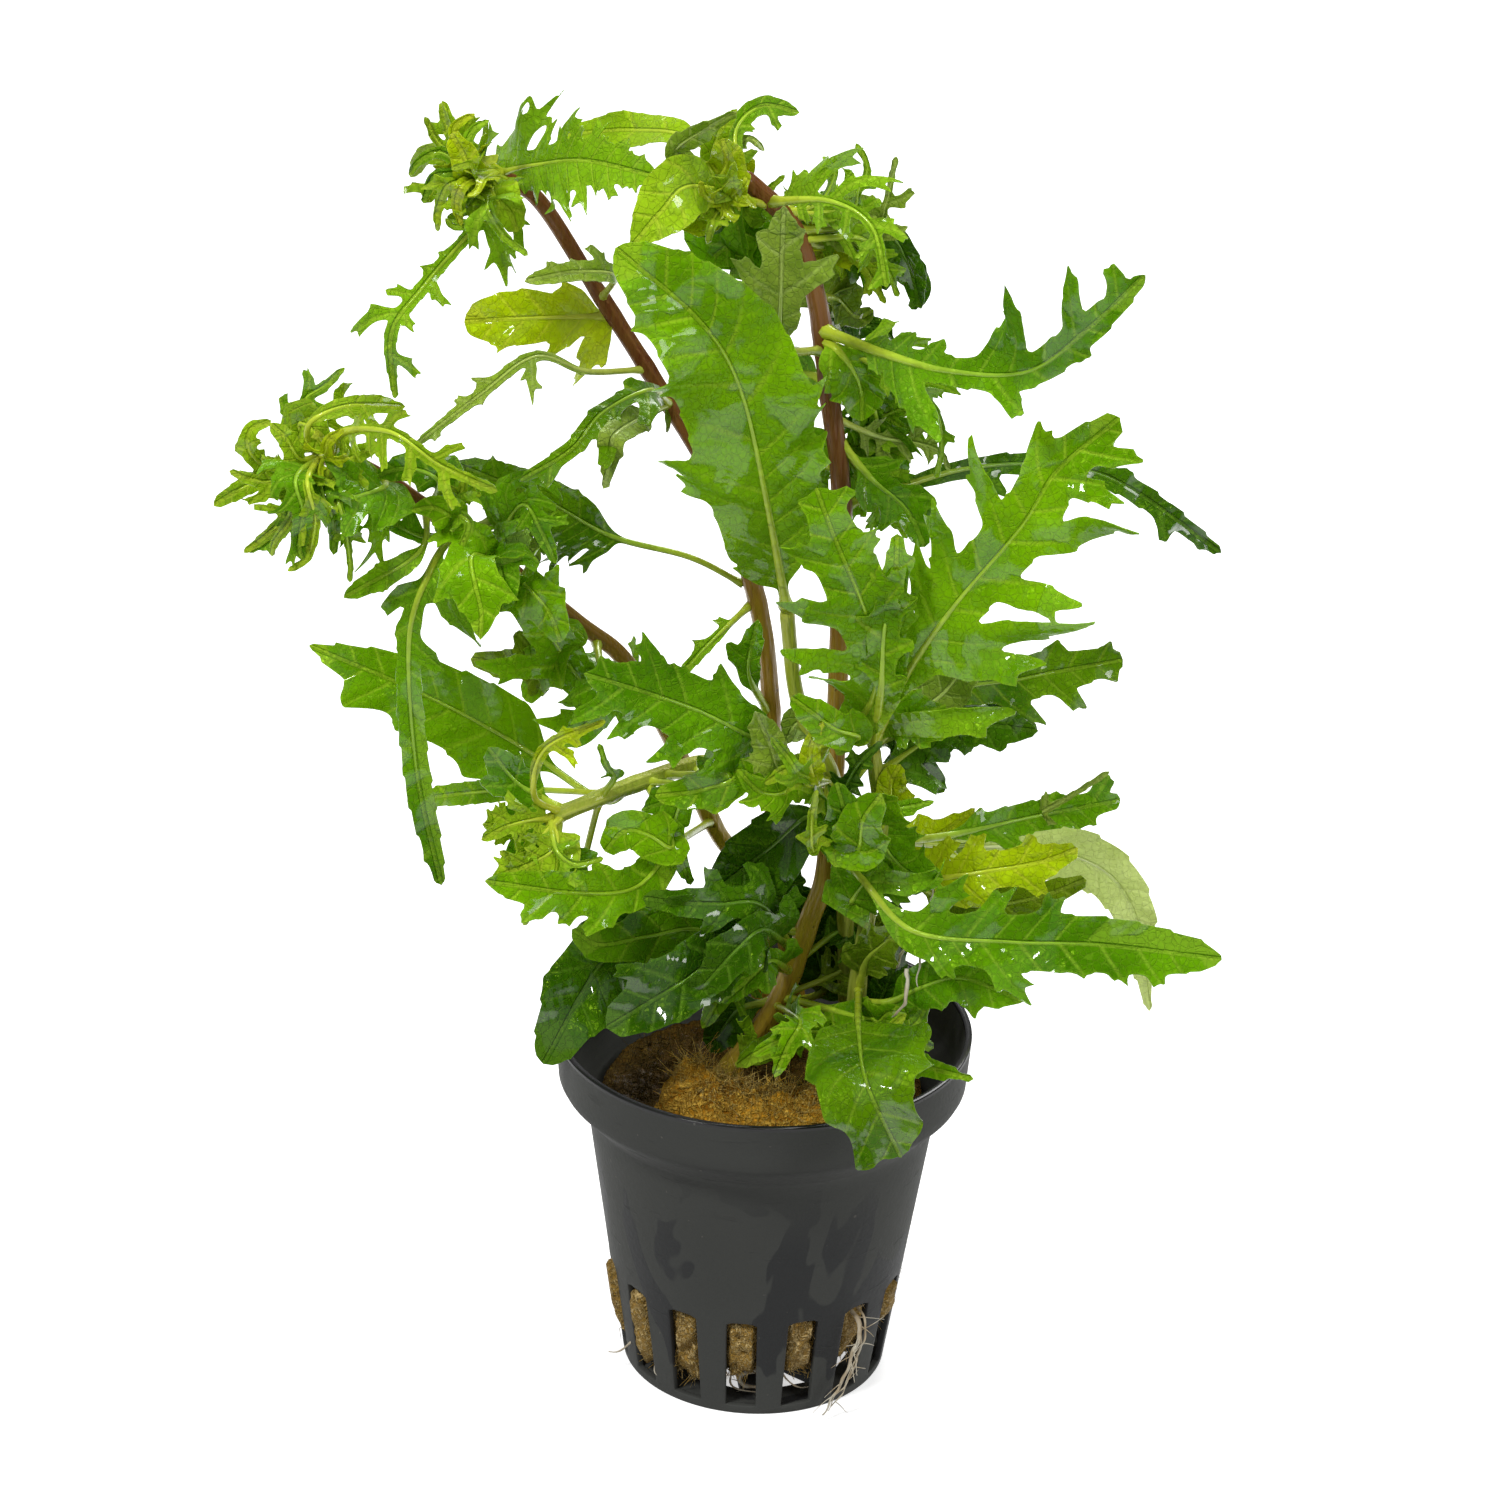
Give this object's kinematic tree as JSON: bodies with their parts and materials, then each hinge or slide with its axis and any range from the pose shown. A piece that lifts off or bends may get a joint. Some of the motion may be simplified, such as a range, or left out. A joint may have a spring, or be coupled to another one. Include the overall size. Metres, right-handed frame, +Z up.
{
  "type": "water wisteria in a net pot",
  "caption": "Water wisteria, an aquarium plant with deep-cut green leaves on tall stems, rooted in mineral wool in a slotted net pot.",
  "frame": {"origin": "middle of the underside of the pot's floor", "axes": "+Z up along the pot's axis, -Y towards the front of the plant, +X to its right"},
  "size_m": [0.128, 0.0622, 0.1777],
  "materials": {
    "leaf_light": "glossy wet leaf",
    "leaf_mid": "glossy wet leaf",
    "leaf_dark": "glossy wet leaf",
    "leaf_pale": "satin underside of a leaf",
    "leaf_yellow": "glossy wet leaf",
    "stem_brown": "satin",
    "stem_green": "satin",
    "root": "matte",
    "mineral_wool": "wet fibres",
    "pot_plastic": "satin"
  },
  "bodies": {
    "root": {"arch_of_low_crown": "leaf_yellow", "arched_of_middle_crown": "leaf_pale", "back_of_left_crown": "leaf_pale", "bright_low_left": "leaf_mid", "broad_left": "leaf_mid", "comb_of_right_crown": "leaf_light", "curl_of_low_crown": "leaf_light", "curling_thread": "leaf_yellow", "dark_curled": "leaf_dark", "dark_long_stalked": "leaf_dark", "dark_of_right_crown": "leaf_dark", "drooping_of_left_crown": "leaf_light", "feather_of_left_crown": "leaf_light", "folded_of_middle_crown": "leaf_pale", "fringe_of_low_crown": "leaf_light", "front_facing": "leaf_mid", "front_over_rim": "leaf_mid", "glossy_left": "leaf_dark", "great_centre": "leaf_mid", "great_middle": "leaf_mid", "great_right": "leaf_mid", "grey_underside": "leaf_pale", "hook_of_middle_crown": "leaf_light", "left_over_rim": "leaf_dark", "left_spread": "leaf_mid", "long_entire": "leaf_mid", "long_hanging": "leaf_mid", "narrow_left": "leaf_light", "olive_antler": "leaf_dark", "pale_edge_on": "leaf_pale", "pale_oval": "leaf_pale", "pot": "pot_plastic", "right_far": "leaf_dark", "right_low_long": "leaf_mid", "right_low_narrow": "leaf_mid", "right_over_rim": "leaf_mid", "right_ragged": "leaf_mid", "right_shaded": "leaf_dark", "right_sweeping": "leaf_light", "right_toothed": "leaf_dark", "root_bundle": "root", "root_curved": "root", "root_curved_left": "root", "shaded_centre": "leaf_dark", "shoot_low": "leaf_light", "shoot_outer": "leaf_light", "short_grey": "leaf_pale", "side_shoot_left": "stem_green", "small_facing": "leaf_pale", "stem_front_green": "stem_green", "stem_leaning_left": "stem_brown", "stem_middle": "stem_brown", "stem_right_young": "stem_green", "stem_tall_left": "stem_brown", "tip_of_low_crown": "leaf_light", "top_of_left_crown": "leaf_light", "wool_plug": "mineral_wool", "yellow_blunt": "leaf_yellow", "yellow_of_middle_crown": "leaf_yellow"}
  },
  "joints": []
}
